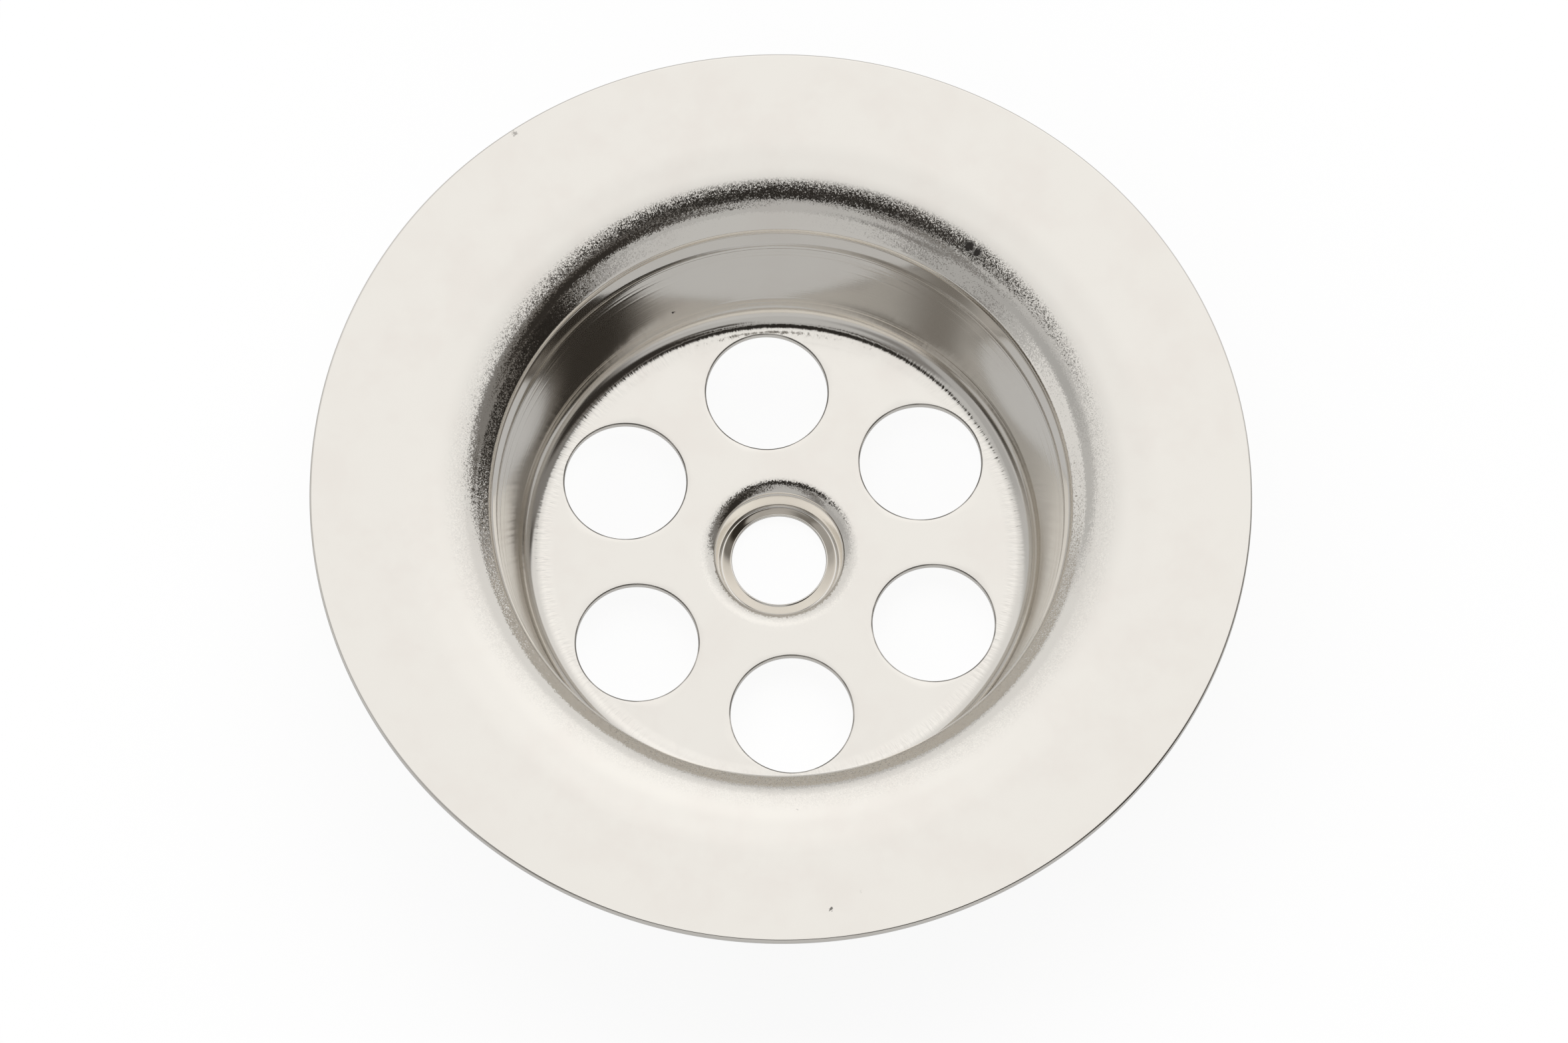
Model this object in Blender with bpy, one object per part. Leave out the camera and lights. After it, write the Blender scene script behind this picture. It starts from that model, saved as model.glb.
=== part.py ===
"""Strainer dish of a kitchen sink waste, with the flat rubber seal that lies under its flange.

The dish is one stainless steel sheet, pressed into a cup with a wide flat flange. Six drain
holes and a pressed-down collar with a screw hole are in the cup's floor.

Metres, +Z up. Z = 0 is the sink's top face, where the seal's underside lies, and the Z axis is
the axis of the dish.
"""
from math import cos, pi, radians, sin, sqrt, tan

import bmesh
import bpy
from mathutils import Matrix, Vector

# The sheet and the flange's flat, which ends where the mouth's bend starts
sheet_thickness = 0.0006
flange_flat_width = 0.01005

# The cup, on its inner face, which is the face that shows
mouth_diameter = 0.0423
mouth_bend_radius = 0.0038
cup_depth = 0.0136
wall_lean = radians(13.0)
floor_fillet_radius = 0.0016

# The drain holes, which come close to the fillet
drain_hole_count = 6
drain_hole_diameter = 0.0092
drain_hole_edge_margin = 0.0001
drain_hole_first_angle = radians(34.0)

# The collar pressed down from the floor: a bend, a short wall and a flat seat round the hole
screw_hole_diameter = 0.0070
screw_seat_width = 0.0007
collar_wall_height = 0.00076
collar_wall_lean = radians(32.0)
collar_bend_radius = 0.00135
collar_bend_sweep = radians(79.0)

# The seal, which lies in from the flange's edge and clears the steel by a named gap
seal_thickness = 0.0020
seal_setback = 0.00275
seal_edge_radius = 0.0004
seal_gap = 0.0003

# How far a cutter runs past both faces of the sheet
cut_overrun = 0.0010

# How finely round shapes are divided
turn_steps = 72
bend_steps = 8
fillet_steps = 5
collar_steps = 5
hole_steps = 32
edge_steps = 2

# What follows from them
mouth_radius = mouth_diameter / 2
flange_inner_radius = mouth_radius + mouth_bend_radius
flange_radius = flange_inner_radius + flange_flat_width
flange_top = seal_thickness + seal_gap + sheet_thickness

wall_foot_radius = mouth_radius - (cup_depth - mouth_bend_radius) * tan(wall_lean)
fillet_sweep = pi / 2 - wall_lean
floor_radius = wall_foot_radius - floor_fillet_radius * tan(fillet_sweep / 2)

drain_hole_radius = drain_hole_diameter / 2
drain_circle_radius = floor_radius - drain_hole_edge_margin - drain_hole_radius

screw_hole_radius = screw_hole_diameter / 2
screw_seat_radius = screw_hole_radius + screw_seat_width
collar_crease_radius = screw_seat_radius + collar_wall_height * tan(collar_wall_lean)
collar_rim_radius = collar_crease_radius + collar_bend_radius * sin(collar_bend_sweep)
collar_depth = collar_bend_radius * (1 - cos(collar_bend_sweep)) + collar_wall_height


def clear_scene():
    for old in list(bpy.data.objects):
        bpy.data.objects.remove(old, do_unlink=True)


def make_material(name, color, metallic, roughness):
    material = bpy.data.materials.new(name)
    material.use_nodes = True
    shader = material.node_tree.nodes["Principled BSDF"]
    shader.inputs["Base Color"].default_value = (*color, 1.0)
    shader.inputs["Metallic"].default_value = metallic
    shader.inputs["Roughness"].default_value = roughness
    material.diffuse_color = (*color, 1.0)
    material.metallic = metallic
    material.roughness = roughness
    return material


def arc(centre, radius, start, sweep, steps):
    """Points on an arc in the plane of radius and height, both ends included."""
    angles = [start + sweep * step / steps for step in range(steps + 1)]
    return [(centre[0] + radius * cos(angle), centre[1] + radius * sin(angle)) for angle in angles]


def dish_profile():
    """The face that shows, from the flange's edge to the screw hole, as radius and height.

    Height 0 is the flange's top face.
    """
    # The mouth's bend rolls from the flat flange to upright.
    points = [(flange_radius, 0)]
    mouth_centre = (flange_inner_radius, -mouth_bend_radius)
    points += arc(mouth_centre, mouth_bend_radius, pi / 2, pi / 2, bend_steps)

    # The wall leans in from the end of the bend, and a fillet joins it to the floor.
    fillet_centre = (floor_radius, floor_fillet_radius - cup_depth)
    points += arc(fillet_centre, floor_fillet_radius, -wall_lean, -fillet_sweep, fillet_steps)

    # The collar rolls down from the floor, leans in and ends in its seat.
    collar_centre = (collar_rim_radius, -cup_depth - collar_bend_radius)
    points += arc(collar_centre, collar_bend_radius, pi / 2, collar_bend_sweep, collar_steps)
    seat_height = -cup_depth - collar_depth
    points += [(screw_seat_radius, seat_height), (screw_hole_radius, seat_height)]
    return points


def bend_reach(drop):
    """Radius of the mouth bend's lower face at a drop below the flange's underside."""
    lower_radius = mouth_bend_radius - sheet_thickness
    return flange_inner_radius - sqrt(lower_radius ** 2 - (lower_radius - drop) ** 2)


def spin_profile(name, points, closed):
    """A mesh turned once about Z from points given as radius and height."""
    shape = bmesh.new()
    verts = [shape.verts.new((radius, 0, height)) for radius, height in points]
    edges = [shape.edges.new(pair) for pair in zip(verts, verts[1:])]
    if closed:
        edges.append(shape.edges.new((verts[-1], verts[0])))
    bmesh.ops.spin(shape, geom=verts + edges, axis=(0, 0, 1), cent=(0, 0, 0), angle=2 * pi,
                   steps=turn_steps, use_merge=True)
    bmesh.ops.recalc_face_normals(shape, faces=shape.faces)
    mesh = bpy.data.meshes.new(name)
    shape.to_mesh(mesh)
    shape.free()
    return mesh


def face_up(mesh):
    """Turns the faces of an open sheet so that its outermost ones, the flange, face up."""
    flange = max(mesh.polygons, key=lambda face: Vector(face.center[:2]).length)
    if flange.normal.z < 0:
        mesh.flip_normals()


def add_object(name, mesh, material=None):
    item = bpy.data.objects.new(name, mesh)
    bpy.context.scene.collection.objects.link(item)
    if material:
        mesh.materials.append(material)
    return item


def shade(mesh):
    mesh.shade_smooth()
    mesh.set_sharp_from_angle(angle=radians(30.0))


def make_drain_hole_cutter(dish):
    """One upright peg for each drain hole, all in one mesh, past both faces of the floor."""
    shape = bmesh.new()
    length = sheet_thickness + 2 * cut_overrun
    middle = -cup_depth - sheet_thickness / 2
    for index in range(drain_hole_count):
        angle = drain_hole_first_angle + index * 2 * pi / drain_hole_count
        across = drain_circle_radius * cos(angle)
        along = drain_circle_radius * sin(angle)
        bmesh.ops.create_cone(shape, cap_ends=True, segments=hole_steps,
                              radius1=drain_hole_radius, radius2=drain_hole_radius, depth=length,
                              matrix=Matrix.Translation((across, along, middle)))
    mesh = bpy.data.meshes.new("drain_hole_cutter")
    shape.to_mesh(mesh)
    shape.free()
    cutter = add_object("drain_hole_cutter", mesh)
    cutter.parent = dish
    cutter.hide_render = True
    cutter.display_type = "WIRE"
    return cutter


def make_strainer_dish():
    steel = make_material("pressed_stainless_steel", (0.72, 0.70, 0.67), 1.0, 0.28)
    mesh = spin_profile("strainer_dish", dish_profile(), closed=False)
    face_up(mesh)
    shade(mesh)
    dish = add_object("strainer_dish", mesh, steel)
    dish.location.z = flange_top

    # The sheet's thickness grows from the face that shows to the back.
    sheet = dish.modifiers.new("sheet", "SOLIDIFY")
    sheet.thickness = sheet_thickness
    sheet.offset = -1.0
    sheet.use_even_offset = True

    holes = dish.modifiers.new("drain_holes", "BOOLEAN")
    holes.operation = "DIFFERENCE"
    holes.solver = "EXACT"
    holes.object = make_drain_hole_cutter(dish)


def make_flange_seal():
    rubber = make_material("black_rubber", (0.018, 0.018, 0.019), 0.0, 0.62)
    outer = flange_radius - seal_setback
    inner = bend_reach(seal_gap) + seal_gap
    points = [(outer, 0), (outer, seal_thickness), (inner, seal_thickness), (inner, 0)]
    mesh = spin_profile("flange_seal", points, closed=True)
    shade(mesh)
    seal = add_object("flange_seal", mesh, rubber)

    edges = seal.modifiers.new("rounded_edges", "BEVEL")
    edges.width = seal_edge_radius
    edges.segments = edge_steps
    edges.limit_method = "ANGLE"
    edges.angle_limit = radians(30.0)


clear_scene()
make_strainer_dish()
make_flange_seal()
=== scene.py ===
from math import asin, cos, pi, radians, sin

import bpy
import numpy as np
from mathutils import Matrix


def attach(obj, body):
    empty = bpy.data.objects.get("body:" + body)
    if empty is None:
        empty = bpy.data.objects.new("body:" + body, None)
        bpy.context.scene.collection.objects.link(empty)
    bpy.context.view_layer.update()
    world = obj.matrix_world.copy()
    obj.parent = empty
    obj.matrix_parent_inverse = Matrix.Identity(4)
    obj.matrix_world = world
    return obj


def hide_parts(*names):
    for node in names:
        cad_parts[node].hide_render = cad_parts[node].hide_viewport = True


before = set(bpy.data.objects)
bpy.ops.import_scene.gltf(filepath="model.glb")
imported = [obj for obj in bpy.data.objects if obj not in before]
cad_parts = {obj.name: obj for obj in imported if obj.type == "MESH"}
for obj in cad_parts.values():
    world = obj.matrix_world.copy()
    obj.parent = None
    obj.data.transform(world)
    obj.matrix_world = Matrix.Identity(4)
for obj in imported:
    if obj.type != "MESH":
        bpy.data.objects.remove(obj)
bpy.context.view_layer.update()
mm = 0.001  # sizes below are in millimetres, the scene is in metres


# Shared helpers

def linearColour(hexCode):
    # sRGB to linear: c / 12.92 in the toe, ((c + 0.055) / 1.055) ^ 2.4 above it
    c = np.array([int(hexCode[i:i + 2], 16) for i in (1, 3, 5)]) / 255
    c = np.where(c <= 0.04045, c / 12.92, ((c + 0.055) / 1.055) ** 2.4)
    return (*[float(v) for v in c], 1.0)


def addNode(tree, kind, inputs=None, out=0, **settings):
    # adds a node, sets or links its inputs and gives back one of its outputs
    node = tree.nodes.new("ShaderNode" + kind)
    for name, value in settings.items():
        setattr(node, name, value)
    for socket, value in (inputs or {}).items():
        if isinstance(value, bpy.types.NodeSocket):
            tree.links.new(value, node.inputs[socket])
        else:
            node.inputs[socket].default_value = value
    return node.outputs[out] if node.outputs else node


def newMaterial(name):
    material = bpy.data.materials.new(name)
    material.use_nodes = True
    material.node_tree.nodes.clear()
    return material, material.node_tree


# The dish

dish = {
    "rimRadius": 35.0,
    "flangeTop": 2.9,  # height of the flange's top face over the sink
    "sheet": 0.6,
    "rimRoll": 0.16,  # rounding that blanking leaves on the rim's upper edge
    "rimBurr": 0.05,  # and on its lower edge
    "flangeLean": 1.0,  # degrees, the flange falls a little towards the mouth
    "leanRadius": 4.0,  # of the soft bend inside the rim where that starts
    "leanReach": 0.07,  # and what the bend takes of the flange's width
    "flangeSteps": 10,
    "leadInRadius": 28.3,  # where it starts to dip
    # the mouth, down to the wall: lines with their length, arcs with their radius and turn in
    # degrees, and how many steps each is divided into; they follow slopes that another program
    # fitted to the photograph's reflections
    "mouth": [("arc", 33.9, 2.2, 8), ("line", 1.1, 0, 3), ("arc", 11.33, 11.8, 10),
              ("arc", 2.64, 27.5, 16), ("line", 0.95, 0, 6), ("arc", 1.25, 36.0, 18),
              ("line", 1.0, 0, 5), ("arc", 2.0, 11.5, 6), ("line", 0.5, 0, 3), ("arc", 2.0, -12.4, 6)],
    # drawing thins the sheet: length along the path from the rim, thickness there
    "thinned": [(6.5, 0.6), (9.5, 0.49), (15.0, 0.49), (24.0, 0.6)],
    "cupDepth": 13.6,
    "filletRadius": 1.78,
    "filletSteps": 18,
    "floorRing": 17.85,  # where the turned part hands over to the punched floor
    "rimBulge": 0.2,  # the rim isn't quite round, far left
    "bulgeStart": 29.0,  # the bulge grows from this radius to the rim
    "around": 300,
    # rows down the wall: close where there are ridges, wide between them
    "upperRidges": (-4.0, -7.2),
    "lowerRidges": -11.3,
    "ridgeRow": 0.08,
    "plainRow": 0.6,
    "lastRowGap": 0.03,  # a row this close to the fillet is left out
    "wallSlope": 1.0,  # radians, what is steeper than this counts as wall
}

holes = {
    "count": 6,
    "radius": 4.6,
    "circle": 12.915,
    "firstAngle": 34.0,
    "roll": 0.1,  # die roll on the upper edge
    "rollSteps": 6,
    "burr": 0.05,
    "burrSteps": 4,
    "sideSteps": 30,
    # rings of the floor's grid, as shares of the way from a sector's outline to its hole, and back
    "faceShares": (0, 0.3, 0.6, 0.85),
    "backShares": (0.3, 0.6, 1),
}

collar = {
    "floorRing": 6.5,
    # pressed down in a soft bend, a tight one and a steep wall; a lip rises from the wall's foot
    # to the screw hole and is rolled over at its edge; the lip is a guess
    "path": [("line", 0.45, 0, 1), ("arc", 2.2, 30, 12), ("arc", 0.35, 48, 10), ("line", 1.52, 0, 6),
             ("arc", 0.15, -108, 9), ("line", 0.652, 0, 5), ("arc", 0.08, 120, 6)],
    "thinned": [(0.45, 0.6), (1.6, 0.31)],  # the sheet's thickness along the path
    "burr": 0.04,
    "footGap": 0.02,  # a point of the underside this close to the cut is left out
    "around": 144,
}

# faint ridges that the drawing left on the wall: height under the flange, how proud, how wide
wallRidges = [(-4.25, 0.010, 0.10), (-4.7, 0.010, 0.09), (-5.35, 0.008, 0.07), (-5.75, 0.012, 0.10),
              (-6.8, 0.006, 0.08), (-8.9, 0.004, 0.10), (-11.5, 0.010, 0.10), (-11.95, -0.012, 0.08),
              (-12.3, 0.008, 0.07)]


def drawPath(start, pieces):
    # A pen runs inwards from the rim with slope b, 0 on the flat and pi/2 straight down.
    # A line moves it by -(cos b, sin b) a length; an arc of radius R, positive when it turns
    # down, moves it by -R (sin b2 - sin b1, cos b1 - cos b2). Rows are radius, height, slope.
    rows = [np.array([[*start, 0.0]])]
    for kind, size, turn, steps in pieces:
        r, z, b = rows[-1][-1]
        s = np.linspace(0, 1, steps + 1)[1:]
        if kind == "line":
            rows.append(np.stack([r - size * s * cos(b), z - size * s * sin(b), b + 0 * s], 1))
        else:
            signed = size if turn > 0 else -size
            b2 = b + radians(turn) * s
            rows.append(np.stack([r - signed * (np.sin(b2) - sin(b)),
                                  z - signed * (cos(b) - np.cos(b2)), b2], 1))
    return np.concatenate(rows)


def underFace(path, thickness):
    # the sheet's other face: each point moved by its thickness against the normal (-sin b, cos b)
    r, z, b = path.T
    return np.stack([r + thickness * np.sin(b), z - thickness * np.cos(b)], 1)


def thicknessAlong(path, stations):
    # the sheet's thickness at each point, linear between stations given by arc length
    steps = np.hypot(*np.diff(path[:, :2], axis=0).T)
    return np.interp(np.concatenate([[0], np.cumsum(steps)]), *zip(*stations))


def quarterArc(centre, radius, start, steps):
    # part of an edge: centre + radius (cos a, sin a) for a quarter turn clockwise from start
    a = np.radians(start - np.linspace(0, 90, steps + 1))
    return np.stack([centre[0] + radius * np.cos(a), centre[1] + radius * np.sin(a)], 1)


def turnPath(path, angles):
    # each point of the path is carried round Z: (r cos a, r sin a, z), a row for each point
    r, z = path[:, :1], path[:, 1:2]
    return np.stack([r * np.cos(angles), r * np.sin(angles), z + 0 * angles], -1)


def gridQuads(rows, columns):
    # corner indices of the quads of a grid whose last column is joined to the first
    i, j = np.meshgrid(np.arange(rows - 1), np.arange(columns), indexing="ij")
    k = (j + 1) % columns
    corners = [i * columns + j, i * columns + k, (i + 1) * columns + k, (i + 1) * columns + j]
    return np.stack(corners, -1).reshape(-1, 4)


def outerPath():
    # flange, mouth, wall and fillet, from the floor's ring up the inside, round the rim and back
    d = dish
    flat = d["rimRadius"] - d["rimRoll"] - d["leadInRadius"] - d["leanReach"]
    flange = [("arc", d["leanRadius"], d["flangeLean"], 3), ("line", flat, 0, d["flangeSteps"])]
    top = drawPath((d["rimRadius"] - d["rimRoll"], 0.0), flange + d["mouth"])
    r, z, b = top[-1]
    footHeight = -d["cupDepth"] + d["filletRadius"] * (1 - cos(b))
    wall = (z - footHeight) / sin(b)
    first, last = d["upperRidges"]
    heights = np.concatenate([
        np.arange(first, last, -d["ridgeRow"]), np.arange(last, d["lowerRidges"], -d["plainRow"]),
        np.arange(d["lowerRidges"], footHeight + d["lastRowGap"], -d["ridgeRow"]), [footHeight]])
    s = (z - heights) / (z - footHeight)
    wallRows = np.stack([r - wall * s * cos(b), z - wall * s * sin(b), b + 0 * s], 1)
    # the fillet stops short of the floor, at the ring where the punched part starts
    floorEdge = wallRows[-1][0] - d["filletRadius"] * sin(b)
    ringSlope = asin((d["floorRing"] - floorEdge) / d["filletRadius"])
    t = np.linspace(b, ringSlope, d["filletSteps"] + 1)[1:]
    filletRows = np.stack([floorEdge + d["filletRadius"] * np.sin(t),
                           -d["cupDepth"] + d["filletRadius"] * (1 - np.cos(t)), t], 1)
    top = np.concatenate([top, wallRows, filletRows])
    face = top[:, :2].copy()
    for height, proud, width in wallRidges:
        lift = proud * np.exp(-((top[:, 1] - height) / width) ** 2) * (top[:, 2] > d["wallSlope"])
        face += lift[:, None] * np.stack([-np.sin(top[:, 2]), np.cos(top[:, 2])], 1)
    back = underFace(top, thicknessAlong(top, d["thinned"]))
    # the back has every fifth point of the face, and every second on the fillet
    fillet = len(top) - d["filletSteps"] - 1
    back = back[np.unique(np.r_[0:fillet:5, fillet:len(top):2, len(top) - 1])]
    back[0] = (d["rimRadius"] - d["rimBurr"], -d["sheet"])
    upper = (d["rimRadius"] - d["rimRoll"], -d["rimRoll"])
    lower = (d["rimRadius"] - d["rimBurr"], d["rimBurr"] - d["sheet"])
    rim = np.concatenate([quarterArc(upper, d["rimRoll"], 90, 7), quarterArc(lower, d["rimBurr"], 0, 3)])
    return np.concatenate([face[:0:-1], rim, back[1:]]), floorEdge


def collarPath():
    # down the collar's face to the screw hole's edge, and back underneath from the cut's foot
    c = collar
    top = drawPath((c["floorRing"], -dish["cupDepth"]), c["path"])
    back = underFace(top, thicknessAlong(top, c["thinned"]))
    cut = top[-1][0] + c["burr"]
    # the cut meets the underside where the lip's straight part passes over it
    lip = len(top) - 1 - c["path"][-1][3]
    slope = top[lip][2]
    foot = back[lip][1] + (back[lip][0] - cut) * -sin(slope) / cos(slope)
    back = back[:lip + 1][back[:lip + 1, 0] > cut + c["footGap"]]
    return np.concatenate([top[:, :2], [[top[-1][0], foot + c["burr"]], [cut, foot]], back[::-1]])


def floorHeight(radius, floorEdge, under):
    # flat inside the fillet, then c - sqrt(R^2 - (r - edge)^2) on it
    bend = dish["filletRadius"] + (dish["sheet"] if under else 0)
    centre = dish["filletRadius"] - dish["cupDepth"]
    past = np.maximum(radius - floorEdge, 0)
    return centre - np.sqrt(bend ** 2 - past ** 2)


def floorSector(index, floorEdge):
    # One sixth of the punched floor: a ruled grid from the sector's outline to its round hole on
    # the face, down the hole's cut wall, and back out to the outline underneath.
    h = holes
    middle = radians(h["firstAngle"] + 360 / h["count"] * index)
    half = pi / h["count"]
    ringSteps = dish["around"] // h["count"]
    collarSteps = collar["around"] // h["count"]
    slope = asin((dish["floorRing"] - floorEdge) / dish["filletRadius"])

    def outline(outer):
        inner = collar["floorRing"]
        a1 = np.linspace(-half, half, ringSteps + 1)[:-1]
        side = np.linspace(0, 1, h["sideSteps"] + 1)[:-1]
        a2 = np.linspace(half, -half, collarSteps + 1)[:-1]
        r = np.concatenate([outer + 0 * a1, outer + (inner - outer) * side, inner + 0 * a2,
                            inner + (outer - inner) * side])
        a = np.concatenate([a1, half + 0 * side, a2, -half + 0 * side])
        return np.stack([r * np.cos(a), r * np.sin(a)], 1)

    def ringAt(outlinePoints, radius):
        way = outlinePoints - [h["circle"], 0]
        way /= np.linalg.norm(way, axis=1)[:, None]
        return way * radius + [h["circle"], 0]

    top = outline(dish["floorRing"])
    low = outline(dish["floorRing"] + dish["sheet"] * sin(slope))
    floor = -dish["cupDepth"]
    rows = []
    wide = ringAt(top, h["radius"] + h["roll"])
    for share in h["faceShares"]:
        flat = top + (wide - top) * share
        rows.append(np.column_stack([flat, floorHeight(np.hypot(*flat.T), floorEdge, False)]))
    for a in np.linspace(0, pi / 2, h["rollSteps"]):
        flat = ringAt(top, h["radius"] + h["roll"] * (1 - sin(a)))
        rows.append(np.column_stack([flat, np.full(len(flat), floor - h["roll"] * (1 - cos(a)))]))
    for a in np.linspace(0, pi / 2, h["burrSteps"]):
        flat = ringAt(top, h["radius"] + h["burr"] * (1 - cos(a)))
        foot = floor - dish["sheet"] + h["burr"] * (1 - sin(a))
        rows.append(np.column_stack([flat, np.full(len(flat), foot)]))
    wide = ringAt(top, h["radius"] + h["burr"])
    for share in h["backShares"]:
        flat = wide + (low - wide) * share
        rows.append(np.column_stack([flat, floorHeight(np.hypot(*flat.T), floorEdge, True)]))
    grid = np.array(rows)
    x, y, z = np.moveaxis(grid, -1, 0)
    turned = np.stack([x * cos(middle) - y * sin(middle), x * sin(middle) + y * cos(middle), z], -1)
    return turned.reshape(-1, 3), gridQuads(*grid.shape[:2])


def weld(parts):
    # grids are joined where their points coincide to a millionth of a millimetre
    points = np.concatenate([p for p, q in parts])
    starts = np.cumsum([0] + [len(p) for p, q in parts[:-1]])
    quads = np.concatenate([q + s for (p, q), s in zip(parts, starts)])
    key = np.round(points, 6) + 0.0
    _, first, index = np.unique(key, axis=0, return_index=True, return_inverse=True)
    return points[first], index.reshape(-1)[quads]


def signedVolume(points, quads):
    # sum over the triangles of a . (b x c) / 6
    tri = np.concatenate([quads[:, [0, 1, 2]], quads[:, [0, 2, 3]]])
    a, b, c = (points[tri[:, k]] for k in range(3))
    return float(np.einsum("ij,ij->i", a, np.cross(b, c)).sum() / 6)


def openEdges(quads):
    # edges that don't have exactly two faces
    pairs = np.concatenate([quads[:, [k, (k + 1) % 4]] for k in range(4)])
    pairs.sort(axis=1)
    return int((np.unique(pairs, axis=0, return_counts=True)[1] != 2).sum())


def addPiece(name, points, quads, material):
    if signedVolume(points, quads) < 0:
        quads = quads[:, ::-1]
    mesh = bpy.data.meshes.new(name)
    mesh.vertices.add(len(points))
    mesh.vertices.foreach_set("co", (points * mm).astype(np.float32).ravel())
    mesh.loops.add(quads.size)
    mesh.loops.foreach_set("vertex_index", quads.astype(np.int32).ravel())
    mesh.polygons.add(len(quads))
    mesh.polygons.foreach_set("loop_start", np.arange(0, quads.size, 4, dtype=np.int32))
    mesh.update(calc_edges=True)
    mesh.validate()
    mesh.shade_smooth()
    mesh.materials.append(material)
    piece = bpy.data.objects.new(name, mesh)
    bpy.context.scene.collection.objects.link(piece)
    print(name, 2 * len(quads), "triangles,", openEdges(quads), "open edges,",
          round(signedVolume(points, quads)), "mm3")
    return piece


def makeDish(material):
    path, floorEdge = outerPath()
    first = radians(holes["firstAngle"]) - pi / holes["count"]
    angles = first + np.linspace(0, 2 * pi, dish["around"] + 1)[:-1]
    outer = turnPath(path, angles)
    outerPart = (outer.reshape(-1, 3), gridQuads(*outer.shape[:2])[:, ::-1])
    inner = turnPath(collarPath(), first + np.linspace(0, 2 * pi, collar["around"] + 1)[:-1])
    innerPart = (inner.reshape(-1, 3), gridQuads(*inner.shape[:2]))
    sectors = [floorSector(k, floorEdge) for k in range(holes["count"])]
    points, quads = weld([outerPart, innerPart, *sectors])
    # the rim swells a little on one side: sin^2 over a quarter turn, growing outwards as a square
    radius, angle = np.hypot(points[:, 0], points[:, 1]), np.arctan2(points[:, 1], points[:, 0])
    quarter = (angle > pi / 2) & (angle < pi)
    bell = np.sin(2 * angle) ** 2 * quarter
    fade = np.clip((radius - dish["bulgeStart"]) / (dish["rimRadius"] - dish["bulgeStart"]), 0, 1) ** 2
    points[:, :2] *= (1 + dish["rimBulge"] * bell * fade / np.maximum(radius, 1))[:, None]
    points[:, 2] += dish["flangeTop"]
    return addPiece("pressed_dish", points, quads, material)


# The seal

seal = {
    "outerRadius": 32.25,
    "innerRadius": 24.4,
    "thickness": 2.0,
    "edge": 0.4,
    "edgeSteps": 8,
    "partingLine": 0.04,  # the mould's joint stands out this much, halfway up the outside
    "partingWidth": 0.08,
    "partingSteps": 14,
    "around": 240,
}


def makeSeal(material):
    # a rounded rectangle carried round Z, with a bell exp(-(z/w)^2) for the parting line
    s = seal
    e = s["edge"]
    corners = [((s["outerRadius"] - e, s["thickness"] - e), 90), ((s["outerRadius"] - e, e), 0),
               ((s["innerRadius"] + e, e), -90), ((s["innerRadius"] + e, s["thickness"] - e), -180)]
    sides = [quarterArc(centre, e, start, s["edgeSteps"]) for centre, start in corners]
    middle = np.linspace(s["thickness"] - e, e, s["partingSteps"])[1:-1]
    bell = np.exp(-((middle - s["thickness"] / 2) / s["partingWidth"]) ** 2)
    outside = np.stack([s["outerRadius"] + s["partingLine"] * bell, middle], 1)
    loop = np.concatenate([sides[0], outside, *sides[1:], sides[0][:1]])
    grid = turnPath(loop, np.linspace(0, 2 * pi, s["around"] + 1)[:-1])
    points, quads = weld([(grid.reshape(-1, 3), gridQuads(*grid.shape[:2]))])
    return addPiece("rubber_seal", points, quads, material)


# Materials

steelLook = {
    "tone": "#EDE9E2",  # stainless steel, a little warm
    "toneWorn": "#EBE6DF",
    # the dark tone of the marks' dirt and of the painted shade on the holes' edges
    "toneDirtAndShade": "#2B2623",
    "roughness": 0.10,
    "roughSpread": 0.01,  # how much it wanders
    "roughRange": (0.3, 0.7),  # of the clouds' noise, over which it does
    "roughWall": 0.06,  # rougher by this much where the punch dragged along the wall
    "roughDirtAndShade": 0.3,
    # mm, the orange peel of stretched sheet: each patch of grains faces its own way; drawn
    # coarser than the real grains, so that it shows
    "facet": 0.07,
    "facetTiltFlat": 0.004,
    "facetTilt": 0.11,
    "grain": 0.16,  # mm, its soft unevenness
    "grainFlat": 0.0005,  # mm high on the flat parts
    "grainBend": 0.0025,  # and where the sheet was stretched
    "streakLength": 4.0,
    "streakWidth": 0.10,
    "streakHeight": 0.0040,
    "tickWidth": 0.24,
    "tickRadius": 18.0,  # the ticks have that width at this radius
    "ticksPerMm": 1.1,  # how often they change along the radius
    "tickHeight": 0.024,
    "edgeShade": 0.75,  # how dark the painted shade line on the holes' rolled edges gets
    "edgeShadeLeast": 0.25,
    "edgeShadeRange": (0.3, 0.6),
    "dirtDepth": 0.004,
    "cloudsPerMm": 0.22,  # the cloudy wear on the face
    "wornRange": (0.4, 0.7),
    "patchesPerMm": 0.5,  # the painted shade on the holes' edges, in patches
    "teethPerMm": 6.0,  # the ragged outlines of the marks
    "teethReach": 0.6,
}

# bands of radius where the sheet was worked: from, in full, still in full, to
steelBands = {
    "mouth": (21.5, 22.0, 24.0, 25.6),
    "neck": (4.8, 5.2, 5.6, 6.4),
    "wall": (18.4, 19.0, 21.0, 21.4),
    "floorEdge": (17.0, 17.7, 18.1, 18.7),
}
holeEdgeBand = (4.60, 4.64, 4.68, 4.74)  # measured from the middle of a drain hole
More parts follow.
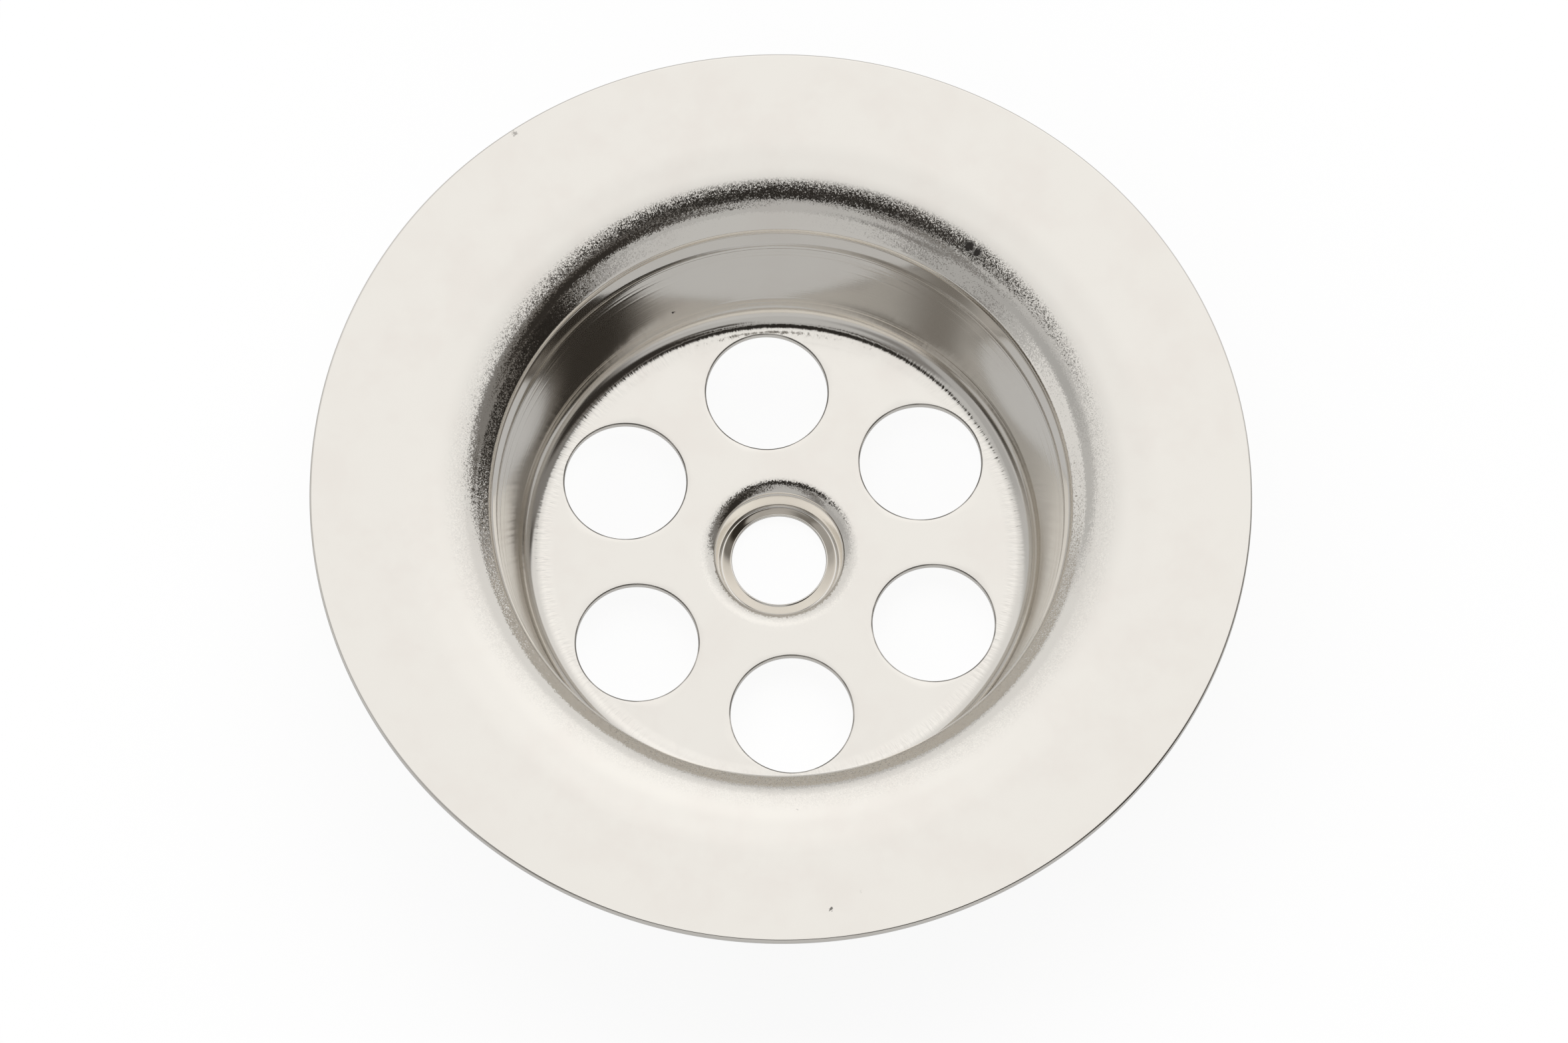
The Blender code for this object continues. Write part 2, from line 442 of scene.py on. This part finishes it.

# small marks of use: place over the flange's plane, radius, how dark; the places were picked in
# the photograph and worked out in millimetres through the fitted camera
marks = [
    ((3.54, -32.55, -0.04), 0.16, 0.75), ((5.72, -31.17, -0.05), 0.06, 0.5),
    ((-8.04, 18.17, -10.66), 0.18, 0.97), ((14.15, 19.62, -0.45), 0.55, 0.95),
    ((14.75, 19.15, -0.50), 0.45, 0.95), ((-10.40, 21.92, -0.43), 0.16, 0.8),
    ((-9.99, 21.16, -0.66), 0.12, 0.8), ((8.80, 22.22, -0.52), 0.14, 0.8),
    ((-19.91, 28.54, 0.0), 0.25, 0.45), ((1.13, -24.75, -0.34), 0.08, 0.4),
]


def bandMask(tree, value, band):
    # smooth step up from the band's start times smooth step down to its end
    start, full, fade, end = band
    rise = addNode(tree, "MapRange", {0: value, 1: start, 2: full}, interpolation_type="SMOOTHSTEP")
    fall = addNode(tree, "MapRange", {0: value, 1: fade, 2: end, 3: 1.0, 4: 0.0},
                   interpolation_type="SMOOTHSTEP")
    return addNode(tree, "Math", {0: rise, 1: fall}, operation="MULTIPLY")


def workedHeight(tree, place, radius, masks, stretched):
    # grain + streaks along the wall + ticks round the floor's edge, in mm
    look = steelLook
    grain = addNode(tree, "TexNoise", {"Vector": place, "Scale": 1 / look["grain"], "Detail": 2.0,
                                       "Roughness": 0.6})
    deep = addNode(tree, "MapRange", {0: stretched, 3: look["grainFlat"], 4: look["grainBend"]},
                   interpolation_type="SMOOTHSTEP")
    grain = addNode(tree, "Math", {0: grain, 1: deep}, operation="MULTIPLY")

    along, across = 1 / look["streakLength"], 1 / look["streakWidth"]
    drawn = addNode(tree, "VectorMath", {0: place, 1: (along, along, across)}, operation="MULTIPLY")
    streak = addNode(tree, "TexNoise", {"Vector": drawn, "Scale": 1.0, "Detail": 3.0})
    streak = addNode(tree, "Math", {0: streak, 1: masks["wall"]}, operation="MULTIPLY")
    streak = addNode(tree, "Math", {0: streak, 1: look["streakHeight"]}, operation="MULTIPLY")

    # the ticks' noise is read on a tube: direction x tick radius / width round it, radius along it
    flat = addNode(tree, "VectorMath", {0: place, 1: (1, 1, 0)}, operation="MULTIPLY")
    way = addNode(tree, "VectorMath", {0: flat}, operation="NORMALIZE")
    spokes = addNode(tree, "VectorMath", {0: way, 3: look["tickRadius"] / look["tickWidth"]},
                     operation="SCALE")
    outwards = addNode(tree, "Math", {0: radius, 1: look["ticksPerMm"]}, operation="MULTIPLY")
    spokes = addNode(tree, "CombineXYZ", {0: addNode(tree, "SeparateXYZ", {0: spokes}),
                                          1: addNode(tree, "SeparateXYZ", {0: spokes}, out=1),
                                          2: outwards})
    tick = addNode(tree, "TexNoise", {"Vector": spokes, "Scale": 1.0, "Detail": 2.0})
    tick = addNode(tree, "Math", {0: tick, 1: masks["floorEdge"]}, operation="MULTIPLY")
    tick = addNode(tree, "Math", {0: tick, 1: look["tickHeight"]}, operation="MULTIPLY")

    height = addNode(tree, "Math", {0: streak, 1: tick}, operation="ADD")
    return addNode(tree, "Math", {0: grain, 1: height}, operation="ADD")


# a line of painted shade on each hole's rolled edge, where the sheet turns down into the hole, darker in
# patches
def holeEdgeShade(tree, place, radius):
    # the turn is folded onto one sixth, w = a - 60 floor(a / 60) - 30, and the distance to the
    # hole's middle is sqrt((r cos w - c)^2 + (r sin w)^2)
    look = steelLook
    turn = addNode(tree, "Math", {0: addNode(tree, "SeparateXYZ", {0: place}, out=1),
                                  1: addNode(tree, "SeparateXYZ", {0: place})}, operation="ARCTAN2")
    sixth = 2 * pi / holes["count"]
    start = radians(holes["firstAngle"]) - sixth / 2
    turn = addNode(tree, "Math", {0: turn, 1: start}, operation="SUBTRACT")
    turn = addNode(tree, "Math", {0: turn, 1: sixth}, operation="FLOORED_MODULO")
    turn = addNode(tree, "Math", {0: turn, 1: sixth / 2}, operation="SUBTRACT")
    outwards = addNode(tree, "Math", {0: radius, 1: addNode(tree, "Math", {0: turn}, operation="COSINE")},
                       operation="MULTIPLY")
    outwards = addNode(tree, "Math", {0: outwards, 1: holes["circle"]}, operation="SUBTRACT")
    aside = addNode(tree, "Math", {0: radius, 1: addNode(tree, "Math", {0: turn}, operation="SINE")},
                    operation="MULTIPLY")
    offset = addNode(tree, "CombineXYZ", {0: outwards, 1: aside})
    fromHole = addNode(tree, "VectorMath", {0: offset}, out=1, operation="LENGTH")
    patchy = addNode(tree, "TexNoise", {"Vector": place, "Scale": look["patchesPerMm"], "Detail": 4.0})
    low, high = look["edgeShadeRange"]
    patchy = addNode(tree, "MapRange", {0: patchy, 1: low, 2: high, 3: look["edgeShadeLeast"],
                                        4: look["edgeShade"]}, interpolation_type="SMOOTHSTEP")
    onEdge = bandMask(tree, fromHole, holeEdgeBand)
    return addNode(tree, "Math", {0: onEdge, 1: patchy}, operation="MULTIPLY")


def markDirt(tree, place):
    # the darkest of the marks, each fading out from half its radius; noise shakes their outlines
    look = steelLook
    ragged = addNode(tree, "TexNoise", {"Vector": place, "Scale": look["teethPerMm"], "Detail": 3.0},
                     out=1)
    ragged = addNode(tree, "VectorMath", {0: ragged, 1: (0.5, 0.5, 0.5)}, operation="SUBTRACT")
    reach = (look["teethReach"],) * 3
    shaken = addNode(tree, "VectorMath", {0: ragged, 1: reach, 2: place}, operation="MULTIPLY_ADD")
    darkened = 0.0
    for (x, y, z), size, dark in marks:
        gap = addNode(tree, "VectorMath", {0: shaken, 1: (x, y, z + dish["flangeTop"])}, out=1,
                      operation="DISTANCE")
        spot = addNode(tree, "MapRange", {0: gap, 1: size / 2, 2: size, 3: dark, 4: 0.0},
                       interpolation_type="SMOOTHSTEP")
        darkened = addNode(tree, "Math", {0: spot, 1: darkened}, operation="MAXIMUM")
    return darkened


def pressedStainless():
    # Stainless steel 304 sheet, cold rolled, drawn and punched: a satin face that mirrors softly,
    # orange peel where it was stretched, long draw streaks on the wall and fine radial wrinkles
    # where the floor meets its fillet.
    look = steelLook
    material, tree = newMaterial("pressed_stainless_304")
    obj = addNode(tree, "TexCoord", out=3)
    place = addNode(tree, "VectorMath", {0: obj, 3: 1 / mm}, operation="SCALE")
    flat = addNode(tree, "VectorMath", {0: place, 1: (1, 1, 0)}, operation="MULTIPLY")
    radius = addNode(tree, "VectorMath", {0: flat}, out=1, operation="LENGTH")
    masks = {name: bandMask(tree, radius, band) for name, band in steelBands.items()}
    stretched = addNode(tree, "Math", {0: masks["mouth"], 1: masks["neck"]}, operation="MAXIMUM")

    marked = markDirt(tree, place)
    # the marks' dirt, and the painted shade on the holes' edges
    darkened = addNode(tree, "Math", {0: marked, 1: holeEdgeShade(tree, place, radius)}, operation="MAXIMUM")
    height = workedHeight(tree, place, radius, masks, stretched)
    sunk = addNode(tree, "Math", {0: marked, 1: look["dirtDepth"]}, operation="MULTIPLY")
    height = addNode(tree, "Math", {0: height, 1: sunk}, operation="SUBTRACT")

    cloud = addNode(tree, "TexNoise", {"Vector": place, "Scale": look["cloudsPerMm"], "Detail": 5.0,
                                       "Roughness": 0.6})
    low, high = look["wornRange"]
    worn = addNode(tree, "MapRange", {0: cloud, 1: low, 2: high}, interpolation_type="SMOOTHSTEP")
    tone = addNode(tree, "Mix", {0: worn, 6: linearColour(look["tone"]), 7: linearColour(look["toneWorn"])},
                   out=2, data_type="RGBA")
    # darkened by the marks' dirt and by the painted shade on the holes' edges
    tone = addNode(tree, "Mix", {0: darkened, 6: tone, 7: linearColour(look["toneDirtAndShade"])}, out=2,
                   data_type="RGBA")

    low, high = look["roughRange"]
    rough = addNode(tree, "MapRange", {0: cloud, 1: low, 2: high,
                                       3: look["roughness"] - look["roughSpread"],
                                       4: look["roughness"] + look["roughSpread"]},
                    interpolation_type="SMOOTHSTEP")
    rough = addNode(tree, "Math", {0: darkened, 1: look["roughDirtAndShade"], 2: rough}, operation="MULTIPLY_ADD")
    rough = addNode(tree, "Math", {0: masks["wall"], 1: look["roughWall"], 2: rough},
                    operation="MULTIPLY_ADD")

    # the facets' tilt: normalised sum of the normal and (cell colour - 0.5) x tilt
    normal = addNode(tree, "Bump", {"Strength": 1.0, "Distance": mm, "Height": height})
    tilt = addNode(tree, "MapRange", {0: stretched, 3: look["facetTiltFlat"], 4: look["facetTilt"]},
                   interpolation_type="SMOOTHSTEP")
    facet = addNode(tree, "TexVoronoi", {"Vector": place, "Scale": 1 / look["facet"]}, out=1)
    facet = addNode(tree, "VectorMath", {0: facet, 1: (0.5, 0.5, 0.5)}, operation="SUBTRACT")
    facet = addNode(tree, "VectorMath", {0: facet, 3: tilt}, operation="SCALE")
    normal = addNode(tree, "VectorMath", {0: normal, 1: facet})
    normal = addNode(tree, "VectorMath", {0: normal}, operation="NORMALIZE")
    shader = addNode(tree, "BsdfPrincipled", {"Base Color": tone, "Metallic": 1.0,
                                              "Roughness": rough, "Normal": normal})
    addNode(tree, "OutputMaterial", {0: shader})
    return material


rubberLook = {
    "tone": "#242425",
    "bloom": "#3A3938",  # the dusty film that moulded rubber carries
    "bloomMost": 0.5,
    "bloomRange": (0.45, 0.75),
    "cloudsPerMm": 0.5,
    "poresPerMm": 6.0,
    "poreDepth": 0.02,
    "poreStrength": 0.6,
    "roughness": 0.62,
}


def mouldedRubber():
    # Black EPDM rubber, compression moulded: matt, slightly uneven, with a faint grey bloom.
    look = rubberLook
    material, tree = newMaterial("moulded_epdm_rubber")
    obj = addNode(tree, "TexCoord", out=3)
    place = addNode(tree, "VectorMath", {0: obj, 3: 1 / mm}, operation="SCALE")
    cloud = addNode(tree, "TexNoise", {"Vector": place, "Scale": look["cloudsPerMm"], "Detail": 5.0})
    low, high = look["bloomRange"]
    dust = addNode(tree, "MapRange", {0: cloud, 1: low, 2: high, 3: 0.0, 4: look["bloomMost"]})
    tone = addNode(tree, "Mix", {0: dust, 6: linearColour(look["tone"]), 7: linearColour(look["bloom"])},
                   out=2, data_type="RGBA")
    pores = addNode(tree, "TexNoise", {"Vector": place, "Scale": look["poresPerMm"], "Detail": 3.0})
    normal = addNode(tree, "Bump", {"Strength": look["poreStrength"], "Distance": look["poreDepth"] * mm,
                                    "Height": pores})
    shader = addNode(tree, "BsdfPrincipled", {"Base Color": tone, "Roughness": look["roughness"],
                                              "Normal": normal})
    addNode(tree, "OutputMaterial", {0: shader})
    return material


# The studio, which the metal mirrors

# Directions are laid out flat, in degrees from straight up: u to the right, v away from the
# camera. Each card is a convex patch of them, given by its light level and its sides: the way
# the side faces (0 right, 90 away), how far out it lies and how soft it is.
# The ways and reaches are another program's rounded fit to the photograph's reflections. Some
# levels and softnesses were then set one by one. The names are only handles: what stood there
# isn't known.
studio = {
    "front": 0.58,
    "roomTone": "#FFF0E0",
    "roomLevel": 0.3,  # what is darker than this takes some of the room's tone
    "glow": ((5, 34), 38, 0.32),  # the lamp's hot spot on the backdrop: centre, reach, gain
    "cards": [
        ("table horizon", 0.48, [(270, -79, 8)]),
        ("left corner", 0.54, [(192, 75, 10), (276, -46, 10)]),
        ("left reflector", 0.22, [(199, 77, 6), (93, 45, 14), (275, 50, 14)]),
        ("backdrop", 0.79, [(286, 1, 7), (97, 77, 14), (14, 81, 6), (171, 87, 9), (45, 96, 8),
                            (136, 84, 14)]),
        ("left gap", 0.53, [(180, 71, 4), (50, -7, 14), (70, 39, 14), (299, -2, 12)]),
        ("near grey", 0.51, [(122, -12, 14), (284, 53, 7), (21, 29, 13), (228, 47, 13)]),
        ("glow", None, []),
        ("doorway", 0.02, [(174, -75, 6), (90, 60, 8), (270, 75, 8)]),
        ("far wedge", 0.02, [(157, -64, 3), (132, -56, 8), (241, 4, 8)]),
        ("near wedge", 0.03, [(191, -2, 6), (126, -15, 8), (273, 34, 8), (-9, 66, 8)]),
        ("camera", 0.02, [(84, 9, 6), (189, 18, 6), (153, 37, 5), (237, 45, 3), (297, 13, 2), (80, 4, 8),
                          (-36, 18, 3)]),
        ("far fitting", 0.44, [(207, 18, 3), (42, -4, 10), (67, -13, 3), (249, 19, 2)]),
        ("right wall", 0.22, [(173, -28, 8), (-9, 75, 3), (95, 12, 10), (275, 8, 10)]),
        ("left wall", 0.44, [(-8, -36, 3), (187, 64, 4), (93, 12, 4), (277, 63, 9)]),
    ],
}


def lightStudio():
    world = bpy.data.worlds.new("studio")
    bpy.context.scene.world = world
    world.use_nodes = True
    tree = world.node_tree
    tree.nodes.clear()

    # the direction laid out flat: its level part made unit length, times the zenith angle
    way = addNode(tree, "TexCoord")
    level = addNode(tree, "SeparateXYZ", {0: way}, out=2)
    zenith = addNode(tree, "Math", {0: level}, operation="ARCCOSINE")
    zenith = addNode(tree, "Math", {0: zenith, 1: 180 / pi}, operation="MULTIPLY")
    flat = addNode(tree, "VectorMath", {0: way, 1: (1, 1, 0)}, operation="MULTIPLY")
    flat = addNode(tree, "VectorMath", {0: flat}, operation="NORMALIZE")
    sky = addNode(tree, "VectorMath", {0: flat, 3: zenith}, operation="SCALE")
    light = studio["front"]
    for name, shade, sides in studio["cards"]:
        if name == "glow":
            centre, reach, gain = studio["glow"]
            away = addNode(tree, "VectorMath", {0: sky, 1: (*centre, 0)}, out=1, operation="DISTANCE")
            spot = addNode(tree, "MapRange", {0: away, 1: 0.0, 2: float(reach), 3: gain, 4: 0.0},
                           interpolation_type="SMOOTHSTEP")
            light = addNode(tree, "Math", {0: light, 1: spot}, operation="ADD")
            continue
        mask = 1.0
        for turn, reach, soft in sides:
            facing = (cos(radians(turn)), sin(radians(turn)), 0)
            out = addNode(tree, "VectorMath", {0: sky, 1: facing}, out=1, operation="DOT_PRODUCT")
            side = addNode(tree, "MapRange", {0: out, 1: reach - soft / 2, 2: reach + soft / 2, 3: 1.0,
                                              4: 0.0}, interpolation_type="SMOOTHSTEP")
            mask = addNode(tree, "Math", {0: side, 1: mask}, operation="MULTIPLY")
        light = addNode(tree, "Mix", {0: mask, 2: light, 3: shade})
    # the unlit parts of the room are warmer than the cards
    white = linearColour("#FFFFFF")
    warmth = addNode(tree, "MapRange", {0: light, 1: 0.0, 2: studio["roomLevel"], 3: 1.0, 4: 0.0})
    tint = addNode(tree, "Mix", {0: warmth, 6: white, 7: linearColour(studio["roomTone"])}, out=2,
                   data_type="RGBA")
    # the camera sees plain white where the surroundings are
    seen = addNode(tree, "LightPath")
    light = addNode(tree, "Mix", {0: seen, 2: light, 3: 1.0})
    tint = addNode(tree, "Mix", {0: seen, 6: tint, 7: white}, out=2, data_type="RGBA")
    background = addNode(tree, "Background", {"Color": tint, "Strength": light})
    addNode(tree, "OutputWorld", {0: background})


floorLook = {
    "tone": "#7A7A7A",  # with its own glow this shows as white and keeps a soft shadow
    "glow": 0.9,
    "glowMirrored": 0.46,  # the metal mirrors it greyer than the exposed background
    "height": -13.16,
    "reach": 3000.0,
}


def makeFloor():
    # matt white light table: it glows evenly for the camera and in the metal
    look = floorLook
    material, tree = newMaterial("light_table")
    camera = addNode(tree, "LightPath")
    glossy = addNode(tree, "LightPath", out="Is Glossy Ray")
    through = addNode(tree, "LightPath", out="Is Transmission Ray")
    seen = addNode(tree, "Math", {0: camera, 1: through}, operation="MAXIMUM")
    mirrored = addNode(tree, "Math", {0: glossy, 1: look["glowMirrored"]}, operation="MULTIPLY")
    glow = addNode(tree, "Math", {0: seen, 1: look["glow"], 2: mirrored}, operation="MULTIPLY_ADD")
    shader = addNode(tree, "BsdfPrincipled", {
        "Base Color": linearColour(look["tone"]), "Roughness": 1.0, "Specular IOR Level": 0.0,
        "Emission Color": linearColour("#FFFFFF"), "Emission Strength": glow})
    addNode(tree, "OutputMaterial", {0: shader})
    mesh = bpy.data.meshes.new("floor")
    size, z = look["reach"] * mm, look["height"] * mm
    mesh.from_pydata([(-size, -size, z), (size, -size, z), (size, size, z), (-size, size, z)], [],
                     [(0, 1, 2, 3)])
    mesh.materials.append(material)
    floor = bpy.data.objects.new("floor", mesh)
    bpy.context.scene.collection.objects.link(floor)


# The camera

# fitted to the rim, the mouth and the holes in the photograph
view = {
    "pitch": 19.5208,  # degrees from straight down
    "yaw": -0.6187,
    "offset": (0.21995, -2.2501, 800.0),  # in the camera's own directions, mm from the flange's middle
    "lens": 247.42,
    "sensor": 36.0,
    "clip": (10.0, 20000.0),
}


def makeCamera():
    data = bpy.data.cameras.new("camera")
    data.lens, data.sensor_width = view["lens"], view["sensor"]
    data.clip_start, data.clip_end = (v * mm for v in view["clip"])
    camera = bpy.data.objects.new("camera", data)
    bpy.context.scene.collection.objects.link(camera)
    turn = Matrix.Rotation(radians(view["pitch"]), 4, "X") @ Matrix.Rotation(radians(view["yaw"]), 4, "Y")
    offset = Matrix.Translation([v * mm for v in view["offset"]])
    camera.matrix_world = Matrix.Translation((0, 0, dish["flangeTop"] * mm)) @ turn @ offset
    bpy.context.scene.camera = camera


steel = pressedStainless()
rubber = mouldedRubber()
print("materials made")

dishPiece = makeDish(steel)
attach(dishPiece, "dish")
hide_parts("strainer_dish")
sealPiece = makeSeal(rubber)
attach(sealPiece, "seal")
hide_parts("flange_seal")
print("pieces made")

lightStudio()
makeFloor()
makeCamera()
bpy.context.scene.view_settings.view_transform = "Standard"
print("studio and camera ready")
